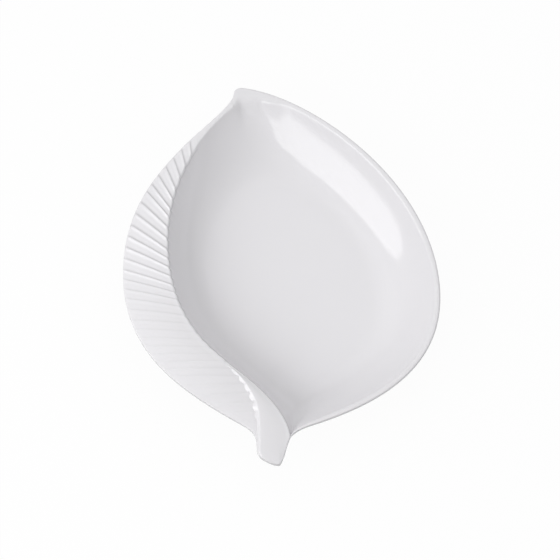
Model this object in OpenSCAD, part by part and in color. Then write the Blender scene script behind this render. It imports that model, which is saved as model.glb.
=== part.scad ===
// Leaf shaped serving dish of glazed porcelain: a deep smooth hollow, a ribbed wing beside it,
// and the leaf's stem as a short handle. The origin lies on the table under the middle of the
// length and of the width, +Y runs from the stem to the leaf's tip and +Z up.

/* [Overall] */
// Length over all, from the end of the stem to the leaf's tip
plate_l = 280; // [240:1:320]
// Width over all, across the wing and the hollow
plate_w = 218; // [185:1:250]
// Height of the rim above the table
rim_h = 36; // [28:0.5:46]
// Thickness of the ware
body_t = 4; // [3:0.1:5]
// Rounding along the outer edges
edge_r = 1.6; // [0.8:0.1:1.8]

/* [Hollow] */
// Width of the lip along the free rim
lip_w = 3.5; // [2.5:0.1:5]
// Width of the flat ledge inside the leaf's tip
ledge_w = 10; // [7:0.5:14]
// Width of the lip where the wing starts, beside the tip
beak_w = 5; // [4:0.1:7]
// Width of the lip where it runs out at the stem
notch_w = 1.5; // [1.2:0.1:2.5]
// Fall of the lip's top toward the hollow
lip_fall = 0.7; // [0.2:0.1:1.2]
// Depth of the ware where the wing grows out of the wall
root_t = 9; // [7:0.5:12]

/* [Wing] */
// Ribs that end at the crease between the wing and the hollow
crease_ribs = 24; // [16:1:30]
// Ribs that end at the stem
stem_ribs = 6; // [4:1:8]
// Height of a rib above the flutes beside it
rib_h = 0.7; // [0.3:0.1:1.4]
// Reach of a flute's round end over the hollow
scallop_w = 0.7; // [0.2:0.1:1.4]
// Fall of the wing from the crease to its rim
wing_drop = 3; // [2:0.1:5]
// Width of the thickened root under the wing
root_w = 7; // [4:0.5:10]

/* [Stem] */
// Width of the slope from the stem's top down to the wing
step_w = 2.6; // [1.6:0.1:4]
// Rise of the stem's middle above its edges
stem_crown = 0.6; // [0:0.1:1.2]
// Fall of the stem toward its end
stem_dip = 1.5; // [0:0.1:3]
// Distance of the middle line's end from the stem's end
stem_round = 8; // [6:0.5:12]

/* [Foot] */
// Height of the foot ring
foot_h = 3; // [2:0.1:5]
// Width of the foot ring
foot_band = 4; // [3:0.1:6]
// Distance of the foot ring from the edge of the flat floor
foot_inset = 3; // [1:0.5:8]

/* [Fineness] */
// Facets across one rib
rib_facets = 4; // [4:2:8]
// Facets along the free rim
rim_facets = 76; // [60:4:100]

/* [Hidden] */

// Outlines as chains of curves: the end and the two handles of each span, as shares of the
// width and the length, measured from the middle.
// Free rim, from the wing's start round the tip and the right side to the notch at the stem
rim_shares = [[-0.114, 0.465],
    [-0.095, 0.48], [-0.11, 0.5], [-0.075, 0.5],
    [0.13, 0.47], [0.5, 0.225], [0.5, -0.065],
    [0.5, -0.24], [0.36, -0.35], [0.055, -0.405],
    [0.02, -0.411], [-0.008, -0.422], [-0.017, -0.436]];
// Rim of the wing, from the same start down the left side to the stem
wing_rim_shares = [[-0.114, 0.465],
    [-0.19, 0.38], [-0.5, 0.29], [-0.5, -0.005],
    [-0.5, -0.21], [-0.3, -0.315], [-0.165, -0.387],
    [-0.135, -0.402], [-0.12, -0.415], [-0.12, -0.435]];
// Crease between the wing and the hollow, after its first point at the tip's ledge
crease_shares = [[-0.26, 0.36], [-0.355, 0.22], [-0.355, 0.065],
    [-0.355, -0.13], [-0.22, -0.205], [-0.17, -0.247]];
// Edge of the stem along the hollow, up to its last point at the notch
stem_right_shares = [[-0.17, -0.247], [-0.11, -0.29], [-0.02, -0.36]];
// Edge of the stem along the wing
stem_left_shares = [[-0.17, -0.247],
    [-0.11, -0.295], [-0.095, -0.36], [-0.12, -0.435]];
// Free end of the stem, left side and right side
end_left_shares = [[-0.12, -0.435],
    [-0.12, -0.455], [-0.125, -0.475], [-0.1, -0.486],
    [-0.085, -0.494], [-0.07, -0.5], [-0.055, -0.5]];
end_right_shares = [[-0.017, -0.436],
    [-0.03, -0.46], [-0.03, -0.5], [-0.055, -0.5]];
// Edge of the flat floor, down its left side and down its right side
floor_left_shares = [[-0.01, 0.265],
    [-0.11, 0.26], [-0.19, 0.15], [-0.19, 0.04],
    [-0.19, -0.09], [-0.05, -0.25], [0.065, -0.25]];
floor_right_shares = [[-0.01, 0.265],
    [0.0925, 0.2735], [0.2625, 0.112], [0.2625, -0.024],
    [0.2625, -0.1515], [0.175, -0.25], [0.065, -0.25]];
floor_middle_shares = [0.05, 0.01];

// Where the ribs lie along the crease and along the wing's rim: how far through the ribs, and
// how far along the edge
crease_rib_shares = [[0, 0.2], [0.125, 0.33], [0.375, 0.535], [0.75, 0.8], [1, 1]];
rim_rib_shares = [[0, 0.126], [0.6, 0.605], [0.83, 0.76], [1, 0.94]];
// Part of the stem's edge that the ribs take
stem_rib_share = 0.78;
// Place of a flute's lowest line between its two ribs
flute_share = 0.6;
// Part of the ribs over which the wing's rim sinks to its full fall
drop_share = 0.2;
// Places along the free rim where its facets, the lip's width and the lip's fall change
facet_shares = [[0, 0], [0.1, 0.045], [0.88, 0.93], [1, 1]];
lip_place_shares = [0, 0.035, 0.07, 0.13, 0.9, 1];
fall_shares = [[0, 0], [0.05, 1], [0.95, 1], [1, 0]];
// Root under the crease, from none at the tip to full and back to none at the notch
root_shares = [[0, 0], [0.12, 1], [0.82, 1], [1, 0]];
// Rows down the wall of the hollow and its underside
wall_row_shares = [0, 0.06, 0.14, 0.25, 0.38, 0.54, 0.75, 1];
under_row_shares = [0.12, 0.3, 0.52, 0.76, 1];
// Least way of the underside in from the edge, and place of the lip's crest
under_in_share = 0.12;
crest_share = 0.6;
// Crown of the wing as part of its width
crown_share = 0.03;
// Part of the stem's free end over which the wing's step fades
fade_share = 0.35;
// Steepness of the wall at its edge, as a multiple of its mean slope
rim_steepness = 1.6;
crease_steepness = 2.6;

// Counts of facets on the plain stretches, and the distance below which points are one
span_steps = 24;
tip_steps = 8;
end_steps = 4;
tail_steps = 14;
tiny = 0.0001;

// Derived sizes
ribs = crease_ribs + stem_ribs;
floor_z = foot_h + body_t;
stem_t = body_t + wing_drop;
stem_steps = rib_facets * stem_ribs + end_steps;
lip_widths = [beak_w, ledge_w, (ledge_w + lip_w) / 2, lip_w, lip_w, notch_w];

// Mixing, and unit vectors
function mix(a, b, share) = a + (b - a) * share;
function toward(a, b) = norm(b - a) < tiny ? [0, 0] : (b - a) / norm(b - a);
function lift(p, z) = [p.x, p.y, z];

// Chains of curves, and the place at a share of a chain's length
function to_size(shares) = [for (s = shares) [s.x * plate_w, s.y * plate_l]];
function bezier(p, k, t) = pow(1 - t, 3) * p[k] + 3 * pow(1 - t, 2) * t * p[k + 1]
    + 3 * (1 - t) * pow(t, 2) * p[k + 2] + pow(t, 3) * p[k + 3];
function chain(p) = [for (k = [0 : 3 : len(p) - 4]) for (i = [min(k, 1) : span_steps])
    bezier(p, k, i / span_steps)];
function lengths(p) = [for (i = 0, s = 0; i < len(p);
    s = s + (i + 1 < len(p) ? norm(p[i + 1] - p[i]) : 0), i = i + 1) s];
function track(p) = let (d = lengths(p), last = len(p) - 1)
    [d[last], [for (i = [0 : last]) [d[i], p[i].x]], [for (i = [0 : last]) [d[i], p[i].y]]];
function spot(t, share) = [lookup(share * t[0], t[1]), lookup(share * t[0], t[2])];

rim = track(chain(to_size(rim_shares)));
wing_rim = track(chain(to_size(wing_rim_shares)));
stem_left = track(chain(to_size(stem_left_shares)));
end_left = track(chain(to_size(end_left_shares)));
end_right = track(chain(to_size(end_right_shares)));
floor_left = track(chain(to_size(floor_left_shares)));
floor_right = track(chain(to_size(floor_right_shares)));
floor_middle = to_size([floor_middle_shares])[0];

// Lip: its width at a share of the rim, and its inner edge, which lies on the way to the floor
lip_table = [for (i = [0 : len(lip_widths) - 1]) [lip_place_shares[i], lip_widths[i]]];
function lip_inner(share) = let (a = spot(rim, share))
    a + toward(a, spot(floor_right, share)) * lookup(share, lip_table);

// The crease starts, and the stem's edge ends, at the lip's inner edge
crease = track(chain(concat([lip_inner(0)], to_size(crease_shares))));
stem_right = track(chain(concat(to_size(stem_right_shares), [lip_inner(1)])));
border_l = crease[0] + stem_right[0];

// Ribs are counted by r: -1 at the tip, 0 where the first flute starts, one more at each rib
crease_table = concat([[-1, 0]], [for (s = crease_rib_shares) [s[0] * crease_ribs, s[1]]]);
rim_table = concat([[-1, 0]], [for (s = rim_rib_shares) [s[0] * ribs, s[1]]], [[ribs + 1, 1]]);
stem_table = [[crease_ribs, 0], [ribs, stem_rib_share], [ribs + 1, 1]];
wing_r = concat([for (i = [0 : tip_steps - 1]) i / tip_steps - 1],
    [for (i = [0 : rib_facets * ribs - 1]) i / rib_facets],
    [for (i = [0 : end_steps]) ribs + i / end_steps]);
function grown(r) = max(0, min(1, r, ribs - r));
function relief(r) = let (t = r - floor(r))
    grown(r) * pow(t < flute_share ? 1 - t / flute_share : (t - flute_share) / (1 - flute_share), 2);
function scallop(r) = scallop_w * (grown(r) - relief(r));
function at_crease(r) = r <= crease_ribs;

// Border between the hollow and its neighbours: share of its length, and depth of the root
function border_share(r) = lookup(r, crease_table) * crease[0] / border_l;
function root(share) = mix(body_t, root_t, lookup(share, root_shares));

// Inner edge of the wing: plan point, height of the top and of the bottom
function inner_line(r) = at_crease(r) ? spot(crease, lookup(r, crease_table))
    : spot(stem_left, lookup(r, stem_table));
function inner_point(r) = let (a = inner_line(r)) at_crease(r)
    ? a + toward(a, spot(floor_left, border_share(r))) * scallop(r) : a;
function inner_drop(r) = at_crease(r) ? 0 : wing_drop * sin(90 * lookup(r, stem_table));
function inner_top(r) = rim_h - inner_drop(r) + rib_h * relief(r);
function inner_bottom(r) = rim_h - (at_crease(r) ? root(border_share(r))
    : mix(root_t, stem_t, lookup(r, stem_table)));

// Wall of the hollow: the share of its height, and its slope, at a share q of the way out from
// the floor's edge, where it starts level
function rise(q, steepness) = q * q * (3 - steepness + (steepness - 2) * q);
function rise_slope(q, steepness) = q * (2 * (3 - steepness) + 3 * (steepness - 2) * q);

// Faces between rings of equal count, without the triangles that have shrunk to nothing
function ring_faces(n, m, closed) = [for (k = [n - (closed ? 1 : 2) : -1 : 0]) for (j = [0 : m - 2])
    let (a = k * m + j, b = ((k + 1) % n) * m + j) each [[a, b + 1, a + 1], [a, b, b + 1]]];
function loop_faces(n, m) = [for (k = [0 : n - 2]) let (a = k * m + m - 1, b = a + m, c = k * m)
    each [[a, c + m, c], [a, b, c + m]]];
function one(p, a, b) = norm(p[a] - p[b]) < tiny;
function sound(p, f) = [for (t = f)
    if (len(t) > 3 || !(one(p, t[0], t[1]) || one(p, t[1], t[2]) || one(p, t[0], t[2]))) t];

// Hollow: each station of its border holds the plan point at mid height, the plan point at the
// top, the floor point, the lip's width, the top, the bottom, the lip's fall and the steepness
function crease_station(r) = let (share = border_share(r))
    [inner_line(r), inner_point(r), spot(floor_left, share), 0, inner_top(r), inner_bottom(r),
     0, steep(share)];
function stem_station(x) = let (share = (crease[0] + x * stem_right[0]) / border_l,
    a = spot(stem_right, x))
    [a, a, spot(floor_left, share), 0, rim_h, rim_h - root(share), 0, steep(share)];
function rim_station(x) = let (share = lookup(x, facet_shares), a = spot(rim, share))
    [a, a, spot(floor_right, share), lookup(share, lip_table), rim_h, rim_h - body_t,
     lip_fall * lookup(share, fall_shares), rim_steepness];
function steep(share) = mix(rim_steepness, crease_steepness, sin(180 * share));
stations = concat([for (r = wing_r) if (at_crease(r)) crease_station(r)],
    [for (j = [1 : stem_steps]) stem_station(j / stem_steps)],
    [for (i = [rim_facets : -1 : 0]) rim_station(i / rim_facets)]);

// One section of the hollow, from the floor's edge up the wall, over the lip and back below
function wall_row(s, share) = let (a = s[0], f = s[2], w = s[3], l = norm(f - a),
    h = s[4] - s[6] - floor_z, d = mix(w, l, share)) share == 0 && w == 0 ? lift(s[1], s[4])
    : lift(a + toward(a, f) * d, floor_z + h * rise(1 - share, s[7]));
function under_row(s, share) = let (a = s[0], f = s[2], w = s[3], l = norm(f - a),
    h = s[4] - s[6] - floor_z, d = mix(w, l, share),
    fall = h * rise_slope(1 - share, s[7]) / (l - w), slant = sqrt(1 + fall * fall))
    lift(a + toward(a, f) * max(d - body_t * fall / slant, d * under_in_share),
        floor_z + h * rise(1 - share, s[7]) - body_t / slant);
function lip_row(s, way, drop) = s[3] == 0 ? lift(s[1], s[4])
    : lift(s[0] + toward(s[0], s[2]) * way, s[4] - drop);
function section(s) = concat(
    [for (i = [len(wall_row_shares) - 1 : -1 : 0]) wall_row(s, wall_row_shares[i])],
    [lip_row(s, s[3] * crest_share, 0), lip_row(s, min(edge_r, s[3] / 2), 0),
     lip_row(s, 0, min(edge_r, s[3] / 2)), lift(s[1], s[5])],
    [for (share = under_row_shares) under_row(s, share)]);

module dish() color("white") {
    rows = len(wall_row_shares) + 4 + len(under_row_shares);
    n = len(stations);
    points = concat([for (s = stations) each section(s)],
        [lift(floor_middle, floor_z), lift(floor_middle, foot_h)]);
    top = n * rows;
    faces = concat(ring_faces(n, rows, true),
        [for (k = [0 : n - 1]) [top, ((k + 1) % n) * rows, k * rows]],
        [for (k = [0 : n - 1]) [top + 1, (k + 1) * rows - 1, ((k + 1) % n + 1) * rows - 1]]);
    polyhedron(points, sound(points, faces), convexity = 6);
}

// One section of the wing, from the crease out over the rim and back below
function wing_section(r) = let (a = inner_point(r), b = spot(wing_rim, lookup(r, rim_table)),
    w = norm(b - a), e = min(edge_r, w / 2), over = rib_h * relief(r),
    in_z = inner_top(r) - over,
    out_z = rim_h - wing_drop * sin(90 * min(1, (r + 1) / (drop_share * ribs))),
    level = function (v) mix(in_z, out_z, v) + 4 * v * (1 - v) * crown_share * w,
    edge = w < tiny ? 1 : 1 - e / w, haunch = w < tiny ? 1 : min(root_w / w, 1 / 2))
    concat([for (v = [0, edge / 3, edge * 2 / 3, edge]) lift(mix(a, b, v), level(v) + over)],
        [lift(b, out_z + over - e), lift(b, out_z - body_t),
         lift(mix(a, b, haunch), level(haunch) - body_t), lift(a, inner_bottom(r))]);

module ribbed_wing() color("whitesmoke") {
    rows = 8;
    n = len(wing_r);
    points = [for (r = wing_r) each wing_section(r)];
    faces = concat(ring_faces(n, rows, false), loop_faces(n, rows),
        [[for (j = [0 : rows - 1]) j]]);
    polyhedron(points, sound(points, faces), convexity = 6);
}

// One section of the stem: bottom, right side, right edge, middle, slope, left side and bottom
function stem_section(a, b, middle, left, right, slope, edge, rise) =
    let (w = norm(b - a), top = rim_h - left[2])
    [lift(b, right[1]), lift(b, right[0]),
     lift(b + toward(b, middle) * min(edge, w / 3), top + rise / 2), lift(middle, top + rise),
     lift(a + toward(a, middle) * min(slope, w / 2), top + rise / 2),
     lift(a, left[0]), lift(a, left[1])];
// Beside the wing and the hollow its edges are theirs
function stem_beside(j) = let (x = j / stem_steps,
    r = wing_r[len(wing_r) - 1 - stem_steps + j], a = inner_point(r), b = spot(stem_right, x),
    share = (crease[0] + x * stem_right[0]) / border_l, grow = inner_drop(r) / wing_drop)
    stem_section(a, b, (a + b) / 2, [inner_top(r), inner_bottom(r), 0],
        [rim_h, rim_h - root(share)], step_w * grow, edge_r, stem_crown * grow);
// Past them it is free on both sides and closes round its end
function stem_free(j) = let (x = j / tail_steps, a = spot(end_left, x), b = spot(end_right, x),
    m = (a + b) / 2, dip = stem_dip * x * x, fade = min(1, x / fade_share),
    middle = [mix(m.x, spot(end_left, 1).x, fade), max(m.y, stem_round - plate_l / 2)])
    stem_section(a, b, middle,
        [rim_h - dip - mix(wing_drop, edge_r, fade), rim_h - dip - stem_t, dip],
        [rim_h - dip - edge_r * fade, rim_h - dip - mix(body_t, stem_t, fade)],
        mix(step_w, edge_r, fade), edge_r, stem_crown);

module stem() color("snow") {
    rows = 7;
    sections = concat([for (j = [0 : stem_steps]) stem_beside(j)],
        [for (j = [0 : tail_steps]) stem_free(j)]);
    points = [for (s = sections) each s];
    faces = concat(ring_faces(len(sections), rows, false), loop_faces(len(sections), rows));
    polyhedron(points, sound(points, faces), convexity = 6);
}

// Foot ring: a band that follows the floor's edge
function floor_loop(inset) = [for (i = [0 : 2 * span_steps - 1])
    let (x = i / span_steps, p = x < 1 ? spot(floor_left, x) : spot(floor_right, 2 - x))
    p + toward(p, floor_middle) * inset];
module foot_ring() color("linen") linear_extrude(foot_h) difference() {
    polygon(floor_loop(foot_inset));
    polygon(floor_loop(foot_inset + foot_band));
}

dish();
ribbed_wing();
stem();
foot_ring();
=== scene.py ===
import math
import bpy
import numpy as np
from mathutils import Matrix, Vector


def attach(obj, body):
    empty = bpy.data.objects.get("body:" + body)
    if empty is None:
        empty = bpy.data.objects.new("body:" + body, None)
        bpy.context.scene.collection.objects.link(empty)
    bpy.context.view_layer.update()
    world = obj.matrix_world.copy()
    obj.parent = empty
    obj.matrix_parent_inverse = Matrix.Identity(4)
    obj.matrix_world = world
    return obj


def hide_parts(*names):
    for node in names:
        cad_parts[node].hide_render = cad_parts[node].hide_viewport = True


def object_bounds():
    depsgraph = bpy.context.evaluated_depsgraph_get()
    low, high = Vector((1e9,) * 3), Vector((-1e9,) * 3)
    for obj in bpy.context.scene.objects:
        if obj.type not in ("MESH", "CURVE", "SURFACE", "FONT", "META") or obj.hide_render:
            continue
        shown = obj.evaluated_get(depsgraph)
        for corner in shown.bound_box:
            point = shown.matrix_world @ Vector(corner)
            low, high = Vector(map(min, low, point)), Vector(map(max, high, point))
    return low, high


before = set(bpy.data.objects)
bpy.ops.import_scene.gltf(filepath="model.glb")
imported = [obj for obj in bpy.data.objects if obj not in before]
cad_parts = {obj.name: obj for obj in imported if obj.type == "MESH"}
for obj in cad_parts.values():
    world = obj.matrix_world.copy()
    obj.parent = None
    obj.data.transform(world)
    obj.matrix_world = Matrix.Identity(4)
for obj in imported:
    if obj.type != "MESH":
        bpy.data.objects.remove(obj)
cad_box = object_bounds()

# Hollow of the leaf: a deep smooth bowl under a free rim, with a thin lip along the rim, a flat
# ledge inside the tip and a wall that is steepest under the crease. The plate is cast in one, in
# porcelain 4 mm thick. Its outline is a few flowing curves, in shares of its width and length.
mm = 0.001
plate_w = cad_box[1].x - cad_box[0].x
plate_l = cad_box[1].y - cad_box[0].y
curve_points = 900


class Line:
    """A curve of the outline, which gives its point at a share of its length."""

    def __init__(self, shares, first=None, last=None):
        p = np.array(shares) * (plate_w, plate_l)
        if first is not None:
            p = np.concatenate([[first], p])
        if last is not None:
            p = np.concatenate([p, [last]])
        t = np.linspace(0, 1, curve_points)[:, None]
        spans = [(1 - t) ** 3 * p[k] + 3 * (1 - t) ** 2 * t * p[k + 1]
                 + 3 * (1 - t) * t ** 2 * p[k + 2] + t ** 3 * p[k + 3]
                 for k in range(0, len(p) - 3, 3)]
        self.points = np.concatenate(spans)
        steps = np.linalg.norm(np.diff(self.points, axis=0), axis=1)
        self.places = np.concatenate([[0], np.cumsum(steps)])
        self.length = self.places[-1]

    def at(self, share):
        d = np.asarray(share) * self.length
        return np.stack([np.interp(d, self.places, self.points[:, k]) for k in (0, 1)], -1)


rim = Line([[-0.114, 0.465],
            [-0.095, 0.48], [-0.11, 0.5], [-0.075, 0.5],
            [0.13, 0.47], [0.5, 0.225], [0.5, -0.065],
            [0.5, -0.24], [0.36, -0.35], [0.055, -0.405],
            [0.02, -0.411], [-0.008, -0.422], [-0.017, -0.436]])
floor_left = Line([[-0.01, 0.265],
                   [-0.11, 0.26], [-0.19, 0.15], [-0.19, 0.04],
                   [-0.19, -0.09], [-0.05, -0.25], [0.065, -0.25]])
floor_right = Line([[-0.01, 0.265],
                    [0.0925, 0.2735], [0.2625, 0.112], [0.2625, -0.024],
                    [0.2625, -0.1515], [0.175, -0.25], [0.065, -0.25]])
floor_middle = np.array([0.05, 0.01]) * (plate_w, plate_l)
lip_table = [[0, 5 * mm], [0.035, 10 * mm], [0.07, 6.75 * mm], [0.13, 3.5 * mm],
             [0.9, 3.5 * mm], [1, 1.5 * mm]]
tiny = 1e-9


def mix(a, b, share):
    return a + (b - a) * share


def smooth(x):
    x = np.clip(x, 0, 1)
    return x * x * (3 - 2 * x)


def lookup(x, table):
    """Goes from row to row of a table in straight lines."""
    return np.interp(x, [row[0] for row in table], [row[1] for row in table])


def ease(x, table):
    """Goes from row to row of a table in smooth steps."""
    places = np.array([row[0] for row in table], float)
    values = np.array([row[1] for row in table], float)
    k = np.clip(np.searchsorted(places, x, side="right") - 1, 0, len(places) - 2)
    return mix(values[k], values[k + 1], smooth((x - places[k]) / (places[k + 1] - places[k])))


def unit(way):
    return way / np.maximum(np.linalg.norm(way, axis=-1, keepdims=True), tiny)


def lip_inner(share):
    """The lip's inner edge, straight in from the rim toward the floor."""
    edge = rim.at(share)
    return edge + unit(floor_right.at(share) - edge) * ease(share, lip_table)


crease = Line([[-0.26, 0.36], [-0.355, 0.22], [-0.355, 0.065],
               [-0.355, -0.107], [-0.249, -0.186], [-0.194, -0.2285]], first=lip_inner(0))
stem_right = Line([[-0.194, -0.2285], [-0.185, -0.2355], [-0.177, -0.2415], [-0.17, -0.247],
                   [-0.11, -0.29], [-0.02, -0.36]], last=lip_inner(1))
crease_share = crease.length / (crease.length + stem_right.length)

# The ribs' places, counted from the tip, and their round ends over the hollow
crease_ribs = 24
stem_ribs = 7
ribs = crease_ribs + stem_ribs
crease_table = [[-1, 0], [0, 0.177], [1, 0.221], [4, 0.353], [6, 0.424], [7, 0.451], [10, 0.565],
                [14, 0.688], [17, 0.766], [22, 0.931], [crease_ribs, 1]]
scallop_table = [[0, 0.9 * mm], [12, 0.8 * mm], [17, 0.5 * mm], [crease_ribs, 0.3 * mm]]
scallop_fullness = 0.7
rib_steps = 14
tip_steps = 24
end_steps = 12
crowding = 0.1


def grown(r):
    """A rib's full size as 1, which the first and the last rib grow to and from."""
    return np.clip(np.minimum(r, ribs - r), 0, 1)


def scallop(r):
    """Reach of a rib's round end over the hollow."""
    arch = np.sin(np.pi * (r - np.floor(r))) ** scallop_fullness
    return lookup(r, scallop_table) * grown(r) * arch


def steps_along(low, high, steps):
    """Places along ribs that lie closer together at the flutes."""
    places = np.linspace(low, high, (high - low) * steps + 1)
    return places - crowding * np.sin(2 * np.pi * places)


crease_r = np.concatenate([np.linspace(-1, 0, tip_steps + 1)[:-1],
                           steps_along(0, crease_ribs, rib_steps)])
stem_r = np.concatenate([steps_along(crease_ribs, ribs, rib_steps),
                         np.linspace(ribs, ribs + 1, end_steps + 1)[1:]])
stem_x = np.linspace(0, 1, len(stem_r))

# The wall between the edge and the floor
rim_h = 36 * mm
body_t = 4 * mm
edge_r = 1.6 * mm
foot_h = 3 * mm
floor_z = foot_h + body_t
rim_steepness = 1.62
crease_steepness = 2.85
steep_table = [[0, 0], [0.45, 1], [0.88, 1], [1, 0]]
blend_in = 0.12
blend_out = 1 - blend_in * (1 - math.exp(-1 / blend_in))
crease_depth = 2 * mm
scallop_run = 10 * mm
lip_fall = 0.4 * mm
fall_table = [[0, 0], [0.05, 1], [0.95, 1], [1, 0]]
lip_depth_share = 0.6
probe_steps = 400


def blended(q):
    """A share of the way out, held back at the floor's edge so that the wall leaves it softly."""
    return (q - blend_in * (1 - np.exp(-q / blend_in))) / blend_out


def rise(q, steepness):
    """Share of the wall's height at a share q of the way out from the floor's edge."""
    q = blended(q)
    return q * q * (3 - steepness + (steepness - 2) * q)


def rise_slope(q, steepness):
    turn = (1 - np.exp(-q / blend_in)) / blend_out
    q = blended(q)
    return turn * q * (2 * (3 - steepness) + 3 * (steepness - 2) * q)


def lift(plan, z):
    """Points of the plan, raised to their heights."""
    return np.concatenate([plan, np.broadcast_to(z, plan.shape[:-1])[..., None]], -1)


class Wall:
    """The hollow's wall from a stretch of its edge down to the floor."""

    def __init__(self, edge, floor, lip, fall, steepness, bulge, depth):
        self.edge = edge
        self.floor = floor
        self.lip = lip
        self.bulge = bulge
        self.steepness = steepness
        self.span = np.linalg.norm(floor - edge, axis=1)
        self.way = unit(floor - edge)
        self.top = rim_h - fall
        self.height = self.top - floor_z
        shares = np.linspace(0, 1, probe_steps)[:, None]
        drops = self.height * (1 - rise(1 - shares, steepness))
        depth = np.broadcast_to(depth, len(edge))
        self.start = np.array([np.interp(depth[k], drops[:, k], shares[:, 0])
                               for k in range(len(edge))])
        reach = self.under_place(shares)[0]
        self.under_start = np.array([np.interp(0, reach[:, k], shares[:, 0])
                                     for k in range(len(edge))])

    def face(self, share):
        """The wall's inner side, which bulges under the ribs' round ends."""
        d = mix(self.lip, self.span, share)
        z = floor_z + self.height * rise(1 - share, self.steepness)
        d = d + self.bulge * np.clip(1 - (rim_h - z) / scallop_run, 0, 1) ** 2
        return lift(self.edge + self.way * d[:, None], z)

    def under_place(self, share):
        slope = self.height * rise_slope(1 - share, self.steepness) / (self.span - self.lip)
        slant = np.sqrt(1 + slope ** 2)
        return (mix(self.lip, self.span, share) - body_t * slope / slant,
                floor_z + self.height * rise(1 - share, self.steepness) - body_t / slant)

    def under(self, share):
        """The wall's outer side, a body's thickness below the inner one."""
        d, z = self.under_place(share)
        return lift(self.edge + self.way * d[:, None], z)


def steepness_at(share):
    return mix(rim_steepness, crease_steepness, ease(share, steep_table))


def crease_wall(r):
    share = lookup(r, crease_table)
    return Wall(crease.at(share), floor_left.at(share * crease_share), 0, 0,
                steepness_at(share * crease_share), scallop(r),
                mix(edge_r, crease_depth, smooth(r + 1)))


def stem_wall(x):
    share = mix(crease_share, 1, x)
    return Wall(stem_right.at(x), floor_left.at(share), 0, 0, steepness_at(share), 0,
                mix(crease_depth, edge_r, x))


def rim_wall(share):
    lip = ease(share, lip_table)
    return Wall(rim.at(share), floor_right.at(share), lip, lip_fall * ease(share, fall_table),
                rim_steepness, 0, np.maximum(edge_r, lip * lip_depth_share))


rim_steps = 380
facet_table = [[0, 0], [0.1, 0.045], [0.88, 0.93], [1, 1]]
crease_side = crease_wall(crease_r)
stem_side = stem_wall(stem_x)
rim_side = rim_wall(lookup(np.linspace(1, 0, rim_steps + 1), facet_table))

# Sections over the floor, up the wall, over the lip and back below
wall_rows = 40
wall_crowding = 1.4
under_rows = 16
under_crowding = 1.3
floor_rows = 6
lip_turns = 8
lip_turn_share = 0.4
rim_side_share = 0.9
rim_under_start = 0.05
corner_share = 0.48


def rounded(path, radii, steps):
    """Sections through the given corners, each corner rounded off where it has a radius."""
    rows = []
    for k, corner in enumerate(path):
        r = np.asarray(radii[k], float)
        if k in (0, len(path) - 1) or not r.any():
            rows.append(corner)
            continue
        before = path[k - 1] - corner
        after = path[k + 1] - corner
        sides = np.minimum(np.linalg.norm(before, axis=1), np.linalg.norm(after, axis=1))
        r = np.minimum(r, sides * corner_share)[:, None]
        a = corner + unit(before) * r
        b = corner + unit(after) * r
        for t in np.linspace(0, 1, steps + 1):
            rows.append((1 - t) ** 2 * a + 2 * (1 - t) * t * corner + t ** 2 * b)
    return rows


def wall_part(wall):
    """Rows from the middle of the floor up to the foot of the edge's rounding."""
    rows = [lift(mix(floor_middle, wall.floor, q), floor_z)
            for q in np.linspace(0, 1, floor_rows, endpoint=False)]
    rows += [wall.face(mix(wall.start, 1, q ** wall_crowding))
             for q in np.linspace(1, 0, wall_rows)]
    return rows


def under_part(wall, first):
    """Rows from the edge down the outer side and in to the middle of the underside."""
    rows = [wall.under(mix(first, 1, q ** under_crowding)) for q in np.linspace(0, 1, under_rows)]
    rows += [lift(mix(floor_middle, wall.floor, q), foot_h)
             for q in np.linspace(1, 0, floor_rows)[1:]]
    return rows


def lip_part(wall):
    """Rows over the lip and down the outer edge of the free rim."""
    turn = np.minimum(edge_r, wall.lip / 2)
    inner_turn = np.maximum(turn, wall.lip * lip_turn_share)
    path = [wall.face(wall.start),
            lift(wall.edge + wall.way * wall.lip[:, None], wall.top),
            lift(wall.edge, rim_h),
            lift(wall.edge, rim_h - body_t * rim_side_share),
            wall.under(rim_under_start)]
    return rounded(path, [0, inner_turn, turn, edge_r, 0], lip_turns)[1:]


lip_rows = lip_part(rim_side)
border_rows = [[wall.face(wall.start)] * (len(lip_rows) - 1) + [wall.under(wall.under_start)]
               for wall in (crease_side, stem_side)]
dish_rows = [np.concatenate(stack) for stack in zip(
    wall_part(crease_side) + border_rows[0] + under_part(crease_side, crease_side.under_start),
    wall_part(stem_side) + border_rows[1] + under_part(stem_side, stem_side.under_start),
    wall_part(rim_side) + lip_rows + under_part(rim_side, rim_under_start))]

# The hand-smoothed valleys at the tip and at the notch beside the stem
tip_soft = 9 * mm
notch_soft = 5 * mm
soft_depth = 14 * mm
soft_reach = 4
notch_station = len(crease_r) + len(stem_r)
strokes = np.linspace(-2, 2, 17)


def soften(row):
    """Rounds the row off where two stretches of the wall meet, more so further down."""
    loop = np.concatenate([row, row[:1]])
    steps = np.linalg.norm(np.diff(loop, axis=0), axis=1) + tiny
    places = np.concatenate([[0], np.cumsum(steps)])
    here = places[:-1]
    total = places[-1]
    spread = 0
    for centre, soft in ((0, tip_soft), (here[notch_station], notch_soft)):
        far = np.abs((here - centre + total / 2) % total - total / 2)
        spread = spread + soft * np.exp(-(far / (soft_reach * soft)) ** 2)
    spread = spread * smooth((rim_h - edge_r - row[:, 2]) / soft_depth)
    weights = np.exp(-strokes ** 2 / 2)
    moved = 0
    for stroke, weight in zip(strokes, weights):
        spots = [np.interp(here + spread * stroke, here, row[:, k], period=total)
                 for k in range(3)]
        moved = moved + np.stack(spots, -1) * weight
    moved = moved / weights.sum()
    return np.concatenate([moved, moved[:1]])


weld_gap = 0.002 * mm
smooth_angle = 50


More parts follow.
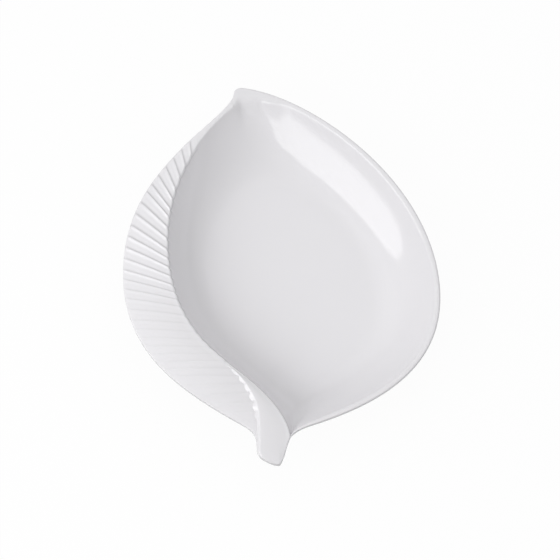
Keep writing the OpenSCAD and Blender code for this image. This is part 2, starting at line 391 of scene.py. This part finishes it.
def skin(name, rows, shade_marks=None):
    """A grid is added with a row for each section, bent to the sections and welded shut."""
    points = np.stack(rows, 1)
    bpy.ops.object.select_all(action="DESELECT")
    bpy.ops.mesh.primitive_grid_add(
        x_subdivisions=points.shape[1] - 1, y_subdivisions=points.shape[0] - 1, calc_uvs=False)
    piece = bpy.context.object
    piece.name = name
    piece.data.name = name
    piece.data.vertices.foreach_set("co", points.ravel())
    # An optional per-vertex layer of painted shade, which the glaze reads to grey its colour
    if shade_marks is not None:
        shade_layer = piece.data.attributes.new("flute_shade_line", "FLOAT", "POINT")
        shade_layer.data.foreach_set("value", np.stack(shade_marks, 1).ravel())
    piece.data.update()
    bpy.ops.object.mode_set(mode="EDIT")
    bpy.ops.mesh.select_all(action="SELECT")
    bpy.ops.mesh.remove_doubles(threshold=weld_gap)
    bpy.ops.mesh.fill_holes(sides=0)
    bpy.ops.mesh.select_all(action="SELECT")
    bpy.ops.mesh.normals_make_consistent(inside=False)
    bpy.ops.object.mode_set(mode="OBJECT")
    bpy.ops.object.shade_smooth_by_angle(angle=math.radians(smooth_angle))
    return piece


dish = skin("dish_glazed", [soften(row) for row in dish_rows])


# Glaze of the hollow, the wing and the stem: thick white porcelain glaze, poured on and fired.
# It is very smooth and a little uneven in tone and gloss. A painted shade greys a thin line on
# each flute's side, just before the next rib's crest.
class Value:
    """A shader socket that can be added and multiplied in Python expressions."""

    def __init__(self, finish, socket):
        self.finish = finish
        self.socket = socket

    def math(self, operation, other):
        return self.finish.add("ShaderNodeMath", {"operation": operation}, [self, other])

    def __add__(self, other):
        return self.math("ADD", other)

    def __mul__(self, other):
        return self.math("MULTIPLY", other)

    __radd__ = __add__
    __rmul__ = __mul__


class Finish:
    """A material or the surround, whose nodes are added one by one."""

    def __init__(self, owner, shader="Principled BSDF", place="Object"):
        owner.use_nodes = True
        self.owner = owner
        self.tree = owner.node_tree
        self.shader = self.tree.nodes[shader]
        self.place = self.add("ShaderNodeTexCoord", {}, [], place)

    def add(self, kind, settings, inputs, output=0):
        node = self.tree.nodes.new(kind)
        for key, value in settings.items():
            setattr(node, key, value)
        pairs = inputs.items() if isinstance(inputs, dict) else enumerate(inputs)
        for key, value in pairs:
            self.feed(node.inputs[key], value)
        return Value(self, node.outputs[output])

    def feed(self, socket, value):
        if isinstance(value, Value):
            self.tree.links.new(value.socket, socket)
        else:
            socket.default_value = value

    def noise(self, scale, detail):
        return self.add("ShaderNodeTexNoise", {},
                        {"Vector": self.place, "Scale": scale, "Detail": detail}, "Fac")

    def blend(self, share, low, high):
        return self.add("ShaderNodeMix", {"data_type": "RGBA"},
                        {"Factor": share, "A": low, "B": high}, "Result")

    def set(self, **values):
        for name, value in values.items():
            self.feed(self.shader.inputs[name.replace("_", " ")], value)


glaze = Finish(bpy.data.materials.new("glaze"))
glaze_white = (0.86, 0.85, 0.872, 1)
glaze_cloud = (0.845, 0.836, 0.858, 1)
# Painted shade: the grey of the thin dark line painted on each flute's side before the next crest
painted_shade_grey = (0.66, 0.655, 0.675, 1)
shade_strength = 0.3
gloss = 0.07
gloss_spread = 0.05
ripple_broad = 0.6
ripple_fine = 0.12
glaze_tone = glaze.blend(glaze.noise(scale=9, detail=3), glaze_white, glaze_cloud)
# Painted shade: the per-vertex layer that places the thin dark lines beside the ribs' crests
flute_shade_line = glaze.add("ShaderNodeAttribute", {"attribute_name": "flute_shade_line"}, [], "Fac")
ripple = (glaze.noise(scale=42, detail=1) * ripple_broad
          + glaze.noise(scale=150, detail=1) * ripple_fine)
glaze_bump = glaze.add("ShaderNodeBump", {},
                       {"Strength": 0.25, "Distance": 0.4 * mm, "Height": ripple}, "Normal")
glaze.set(Base_Color=glaze.blend(flute_shade_line * shade_strength, glaze_tone, painted_shade_grey),
          Roughness=glaze.noise(scale=25, detail=2) * gloss_spread + gloss, Normal=glaze_bump,
          IOR=1.55, Subsurface_Weight=0.15, Subsurface_Radius=(1, 1, 1),
          Subsurface_Scale=2 * mm)
dish.data.materials.append(glaze.owner)
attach(dish, "root")
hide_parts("dish")


# Ribbed wing: a broad band between the crease and the leaf's left edge, which slopes away from
# the crease, with a fan of rounded ribs between narrow flutes that fade toward the stem. It is
# cast in one with the hollow, and the ribs' round ends stand a little over it.
wing_rim = Line([[-0.114, 0.465],
                 [-0.19, 0.38], [-0.5, 0.29], [-0.5, -0.005],
                 [-0.5, -0.21], [-0.3, -0.315], [-0.165, -0.387],
                 [-0.135, -0.402], [-0.12, -0.415], [-0.12, -0.435]])
stem_left = Line([[-0.194, -0.2285],
                  [-0.16, -0.262], [-0.134, -0.296], [-0.121, -0.33],
                  [-0.109, -0.362], [-0.118, -0.41], [-0.12, -0.435]])
rim_table = [[-1, 0], [0, 0.108], [1, 0.135], [6, 0.268], [7, 0.288], [10, 0.376], [14, 0.483],
             [17, 0.552], [19, 0.605], [26, 0.762], [ribs, 0.94], [ribs + 1, 1]]
stem_table = [[crease_ribs, 0], [ribs, 0.78], [ribs + 1, 1]]
rib_h = 0.9 * mm
rib_table = [[0, 0.7], [5, 1], [12, 1], [17, 0.35], [20, 0.2], [ribs, 0.2]]
rib_fade = 2 * mm
after_share = 0.27
before_share = 0.22
bow_share = 0.15
tooth_w = 1.6 * mm
step_h = 0.8 * mm
drop_table = [[-1, 0], [5, 3 * mm], [13, 3 * mm], [21, 0], [27, -1 * mm], [ribs + 1, step_h]]
crown_share = 0.03
crown_ribs = 3
crease_nose = 2.2 * mm
join_w = 3 * edge_r
haunch = 9 * mm
root_ribs = 4
rim_turn_share = 0.7
wing_rows = 26
wing_under_rows = 13
rim_turns = 5
nose_turns = 8
as_round_as_fits = 1
painted_line_place = 0.38
painted_line_w = 0.08


def relief(r):
    """Height of the ribs as a share: 1 on a rib's crest, and nothing in a flute."""
    t = r - np.floor(r)
    near = np.where(t < 0.5, 1 - t / after_share, 1 - (1 - t) / before_share)
    return grown(r) * (smooth(near) * (1 - bow_share) + bow_share * (1 - 2 * t) ** 2)


def rib_rise(r):
    return rib_h * lookup(r, rib_table) * relief(r)


def inner_drop(r):
    """Depth of the wing's inner edge below the rim, which grows along the stem."""
    return step_h * np.sin(np.pi / 2 * lookup(r, stem_table))


def tooth(r):
    """Reach of the stem's step over the end of a rib."""
    return tooth_w * grown(r) * np.sin(np.pi * (r - np.floor(r))) * smooth(r - crease_ribs)


def stem_border(r, reach):
    """The wing's inner edge beside the stem, which reaches out from the stem's left side."""
    side = stem_left.at(lookup(r, stem_table))
    out = unit(wing_rim.at(lookup(r, rim_table)) - side)
    stem_w = np.linalg.norm(side - stem_right.at((r - crease_ribs) / (stem_ribs + 1)), axis=1)
    return side + out * (edge_r * (1 - smooth(stem_w / join_w)) + reach)[:, None]


def wing_part(r, inner, wall):
    """Rows of the wing from its inner edge over the rim and back below."""
    outer = wing_rim.at(lookup(r, rim_table))
    out = unit(outer - inner)
    width = np.linalg.norm(outer - inner, axis=1)
    turn = np.minimum(edge_r, width * rim_turn_share)
    inner_z = rim_h - inner_drop(r)
    outer_z = rim_h - ease(r, drop_table)
    crown = crown_share * smooth((r + 1) / crown_ribs) * width
    root = 0 * width
    if wall:
        root = inner_z - body_t - wall.under(wall.under_start)[:, 2]
        root = root * smooth((crease_ribs - r) / root_ribs)

    def level(d):
        v = d / np.maximum(width, tiny)
        return mix(inner_z, outer_z, v) + 4 * v * (1 - v) * crown

    def face(d):
        """The ribbed side, whose ribs run out before the rim."""
        fade = smooth((width - d) / rib_fade)
        return lift(inner + out * d[:, None], level(d) + rib_rise(r) * fade)

    def under(d):
        """The smooth underside, which runs on past the teeth to the stem's side."""
        d = d - tooth(r) * (1 - d / np.maximum(width - turn, tiny))
        deep = np.clip(1 - d / haunch, 0, 1) ** 2 * root
        return lift(inner + out * d[:, None], level(np.maximum(d, 0)) - body_t - deep)

    rows = [face((width - turn) * v) for v in np.linspace(0, 1, wing_rows)]
    path = [rows[-1], lift(outer, outer_z), lift(outer, outer_z - body_t), under(width - turn)]
    rows += rounded(path, [0, turn, turn, 0], rim_turns)[1:]
    rows += [under((width - turn) * v) for v in np.linspace(1, 0, wing_under_rows + 1)[1:]]
    return rows


nose_plan = crease_side.edge + crease_side.way * crease_side.bulge[:, None]
nose = lift(nose_plan, rim_h + rib_rise(crease_r))
crease_out = unit(wing_rim.at(lookup(crease_r, rim_table)) - crease_side.edge)
crease_reach = mix(edge_r, crease_nose, smooth(crease_r + 1))
crease_inner = crease_side.edge + crease_out * crease_reach[:, None]
crease_foot = crease_side.face(crease_side.start)
crease_under = crease_side.under(crease_side.under_start)
crease_rows = wing_part(crease_r, crease_inner, crease_side)
turning = rounded([crease_foot, nose, crease_rows[0]], [0, as_round_as_fits, 0], nose_turns)[:-1]
left_rows = turning + crease_rows + [crease_under, crease_foot]

stem_rows = wing_part(stem_r, stem_border(stem_r, tooth(stem_r)), None)
right_rows = [stem_rows[0]] * len(turning) + stem_rows + [stem_rows[-1], stem_rows[0]]
all_rows = [np.concatenate(pair) for pair in zip(left_rows, right_rows)]
rib_places = np.concatenate([crease_r, stem_r])
# Painted shade: a thin dark line on each flute's side, at 0.88 of a rib's pitch just before the
# next crest, fading where the ribs are low
painted_lines = np.exp(-(((rib_places + 0.5) % 1 - painted_line_place) / painted_line_w) ** 2)
shade_marks = lookup(rib_places, rib_table) * grown(rib_places) * painted_lines
ribbed_wing = skin("ribbed_wing_glazed", all_rows, [shade_marks] * len(all_rows))
ribbed_wing.data.materials.append(glaze.owner)
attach(ribbed_wing, "root")
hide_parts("ribbed_wing")


# Stem: the leaf's smooth stalk and the plate's handle, cast in one with the rest. It rises out
# of the wing with a toothed step on its left, follows the hollow on its right, leans up to the
# left and ends free and round.
step_w = 2.5 * mm
step_r = 0.6 * mm
stem_crown = 0.3 * mm
stem_lean = 2 * mm
stem_tilt = 0.11
stem_dip = 0.6 * mm
stem_round = 8 * mm
tail_l = 18 * mm
end_t = 4.5 * mm
fade_share = 0.7
slope_share = 0.3
corner_grow = 8
tail_steps = 60
top_rows = 12
step_turns = 6
bottom_rows = 5
end_left = Line([[-0.12, -0.435],
                 [-0.12, -0.455], [-0.125, -0.472], [-0.1, -0.483],
                 [-0.085, -0.491], [-0.07, -0.497], [-0.055, -0.497]])
end_right = Line([[-0.017, -0.436],
                  [-0.03, -0.455], [-0.04, -0.49], [-0.055, -0.497]])


def fallen(plan):
    """Dip of the top toward the free end."""
    return np.clip((stem_left.at(1)[1] - plan[:, 1]) / tail_l, 0, 1) ** 2 * stem_dip


def leaned(plan):
    """Rise of the free end's top toward its left side."""
    return np.maximum(0, end_right.at(0)[0] - edge_r - plan[:, 0]) * stem_tilt


def stem_top(right, middle, slope, crown, lean=None):
    """Rows over the stem from its right edge to the top of its left slope.

    The top leans up to the left by lean, or at the free end by the place in the plan."""
    rows = []
    for v in np.linspace(0, 1, top_rows + 1):
        plan = mix(right, middle, 2 * v) if v < 0.5 else mix(middle, slope, 2 * v - 1)
        up = leaned(plan) if lean is None else lean * v
        rows.append(lift(plan, rim_h + crown * 4 * v * (1 - v) + up - fallen(plan)))
    return rows


def bottom(left, right):
    """Rows across the flat underside."""
    return [mix(left, right, v) for v in np.linspace(0, 1, bottom_rows + 1)[1:]]


# The stretch beside the wing
step_foot = stem_rows[0]
beside_right = stem_side.edge
across = unit(step_foot[:, :2] - beside_right)
beside_w = np.linalg.norm(step_foot[:, :2] - beside_right, axis=1)
grow = inner_drop(stem_r) / step_h
step_reach = np.minimum(step_w * grow, beside_w / 2)
beside_slope = stem_border(stem_r, 0) - across * step_reach[:, None]
beside_top = beside_right + across * np.minimum(edge_r, beside_w / 3)[:, None]
beside_foot = stem_side.face(stem_side.start)
tops = stem_top(beside_top, (beside_slope + beside_top) / 2, beside_slope,
                stem_crown * grow, stem_lean * grow)
beside = rounded([beside_foot, lift(beside_right, rim_h), tops[0]],
                 [0, as_round_as_fits, 0], nose_turns)[:-1]
beside += tops[:-1]
beside += rounded([tops[-2], tops[-1], step_foot], [0, step_r, 0], step_turns)[1:]
beside += [step_foot] * step_turns + [stem_rows[-1]]
beside += bottom(stem_rows[-1], stem_side.under(stem_side.under_start))
beside += [beside_foot]

# The free end
x = np.linspace(0, 1, tail_steps + 1)
fade = smooth(x / fade_share)
left = end_left.at(x)
right = end_right.at(x)
middle = np.stack([mix((left[:, 0] + right[:, 0]) / 2, end_left.at(1)[0], fade),
                   np.maximum((left[:, 1] + right[:, 1]) / 2, stem_round - plate_l / 2)], -1)
slope_w = mix(step_w, edge_r, smooth(x / slope_share))
free_slope = left + unit(middle - left) * slope_w[:, None]
free_top = right + unit(middle - right) * edge_r
left_z = rim_h + mix(-step_h, leaned(left), fade) - fallen(left)
right_z = rim_h + leaned(right) - fallen(right)
thickness = mix(body_t, end_t, fade)
left_low = lift(left, left_z - thickness)
right_low = lift(right, right_z - thickness)
tops = stem_top(free_top, middle, free_slope, stem_crown)
free = rounded([right_low, lift(right, right_z), tops[0]], [0, edge_r, 0], nose_turns)[:-1]
free += tops[:-1]
free += rounded([tops[-2], tops[-1], lift(left, left_z), left_low],
                [0, mix(step_r, edge_r, fade), edge_r * smooth(corner_grow * x), 0],
                step_turns)[1:]
free += bottom(left_low, right_low)
free += [right_low]
stem = skin("stem_glazed", [np.concatenate(pair) for pair in zip(beside, free)])
stem.data.materials.append(glaze.owner)
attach(stem, "root")
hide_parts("stem")


# Foot ring: the low band that the plate stands on, cast under the floor's edge. Its glaze is
# wiped off before firing, so the porcelain body shows, fine and matt.
foot_inset = 3 * mm
foot_band = 4 * mm
foot_flare = 1 * mm
foot_sunk = 0.2 * mm
foot_r = 0.8 * mm
foot_turns = 5
ring_steps = 240
ring = np.linspace(0, 2, ring_steps + 1)


def floor_loop(inset):
    edge = np.where((ring < 1)[:, None], floor_left.at(ring), floor_right.at(2 - ring))
    return edge + unit(floor_middle - edge) * inset


foot_inner = foot_inset + foot_band
ring_path = [lift(floor_loop(foot_inset - foot_flare), foot_h + foot_sunk),
             lift(floor_loop(foot_inset), foot_h - foot_flare),
             lift(floor_loop(foot_inset), 0),
             lift(floor_loop(foot_inner), 0),
             lift(floor_loop(foot_inner), foot_h - foot_flare),
             lift(floor_loop(foot_inner + foot_flare), foot_h + foot_sunk)]
ring_rows = rounded(ring_path, [0, foot_flare, foot_r, foot_r, foot_flare, 0], foot_turns)
foot_ring = skin("foot_ring_bare", ring_rows + [ring_rows[0]])
bisque = Finish(bpy.data.materials.new("bisque"))
bisque_pale = (0.72, 0.69, 0.63, 1)
bisque_dark = (0.60, 0.57, 0.51, 1)
matt = 0.65
matt_spread = 0.2
speck = bisque.noise(scale=260, detail=4)
grain = bisque.add("ShaderNodeBump", {},
                   {"Strength": 0.4, "Distance": 0.2 * mm, "Height": speck}, "Normal")
bisque.set(Base_Color=bisque.blend(speck, bisque_pale, bisque_dark),
           Roughness=speck * matt_spread + matt, Normal=grain)
foot_ring.data.materials.append(bisque.owner)
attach(foot_ring, "root")
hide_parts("foot_ring")


# Studio: a plain white table that keeps the plate's shadow, and shows white to the camera and in
# the glaze. A long soft box at the left makes the highlight, a wide weak one stands behind the
# tip, and the white surround is brightest overhead.
table_size = 12
paper_white = (0.88, 0.88, 0.88, 1)
paper_cloud = (0.84, 0.84, 0.84, 1)
paper_dark = (0.1, 0.1, 0.1, 1)
white = (1, 1, 1, 1)
glow_share = 0.96
bpy.ops.object.select_all(action="DESELECT")
bpy.ops.mesh.primitive_plane_add(size=table_size)
table = bpy.context.object
table.name = "table"
paper = Finish(bpy.data.materials.new("paper"))
rays = [paper.add("ShaderNodeLightPath", {}, [], ray)
        for ray in ("Is Camera Ray", "Is Glossy Ray", "Is Transmission Ray")]
seen = paper.add("ShaderNodeMath", {"operation": "MINIMUM"}, [rays[0] + rays[1] + rays[2], 1])
paper_tone = paper.blend(paper.noise(scale=4, detail=2), paper_white, paper_cloud)
paper.set(Base_Color=paper.blend(seen, paper_dark, paper_tone), Roughness=0.8)
glow = paper.add("ShaderNodeEmission", {}, {"Color": white, "Strength": 1}, "Emission")
shown = paper.add("ShaderNodeMixShader", {},
                  [seen * glow_share, Value(paper, paper.shader.outputs[0]), glow], "Shader")
paper.feed(paper.tree.nodes["Material Output"].inputs["Surface"], shown)
table.data.materials.append(paper.owner)


def soft_box(name, place, width, height, turn, power):
    """An oval area lamp that faces the middle of the table, turned on its own axis."""
    bpy.ops.object.light_add(type="AREA", location=place)
    lamp = bpy.context.object
    lamp.name = name
    lamp.rotation_euler = (-Vector(place)).to_track_quat("-Z", "Y").to_euler()
    lamp.rotation_euler.rotate_axis("Z", math.radians(turn))
    lamp.data.shape = "ELLIPSE"
    lamp.data.size = width
    lamp.data.size_y = height
    lamp.data.energy = power


soft_box("key", place=(-0.757, -0.361, 0.548), width=1.3, height=0.6, turn=21, power=4.6)
soft_box("back_left", place=(-0.34, 0.72, 0.9), width=1.7, height=1.7, turn=0, power=2)
sky_power = 0.4
sky_gain = 0.68
sky_low = 0.05
surround = Finish(bpy.data.worlds.new("surround"), "Background", "Generated")
height = surround.add("ShaderNodeSeparateXYZ", {}, [surround.place], "Z")
sky = surround.add("ShaderNodeMath", {"operation": "POWER", "use_clamp": True},
                   [height, sky_power])
surround.set(Color=white, Strength=sky * sky_gain + sky_low)
bpy.context.scene.world = surround.owner


# Camera: at the photograph's angle, aimed so that the plate lies where the photograph has it.
elevation = math.radians(70)
azimuth = math.radians(-4.7)
distance = 1.5
focal_px = 2145.5
frame_px = 560
sensor = 36
aim = Vector((1.1 * mm, 0.1 * mm, 20 * mm))
aim_px = (281.75, 276.5)
back = Vector((math.sin(azimuth) * math.cos(elevation),
               -math.cos(azimuth) * math.cos(elevation),
               math.sin(elevation)))
right_way = Vector((math.cos(azimuth), math.sin(azimuth), 0))
up_way = back.cross(right_way)
m_per_px = distance / focal_px
centre = (aim - right_way * ((aim_px[0] - frame_px / 2) * m_per_px)
          - up_way * ((frame_px / 2 - aim_px[1]) * m_per_px))
bpy.ops.object.camera_add(location=centre + back * distance)
camera = bpy.context.object
camera.rotation_mode = "QUATERNION"
camera.rotation_quaternion = (-back).to_track_quat("-Z", "Y")
camera.data.lens = focal_px / frame_px * sensor
camera.data.sensor_width = sensor
camera.data.clip_end = 30
bpy.context.scene.camera = camera
bpy.context.scene.view_settings.view_transform = "Standard"
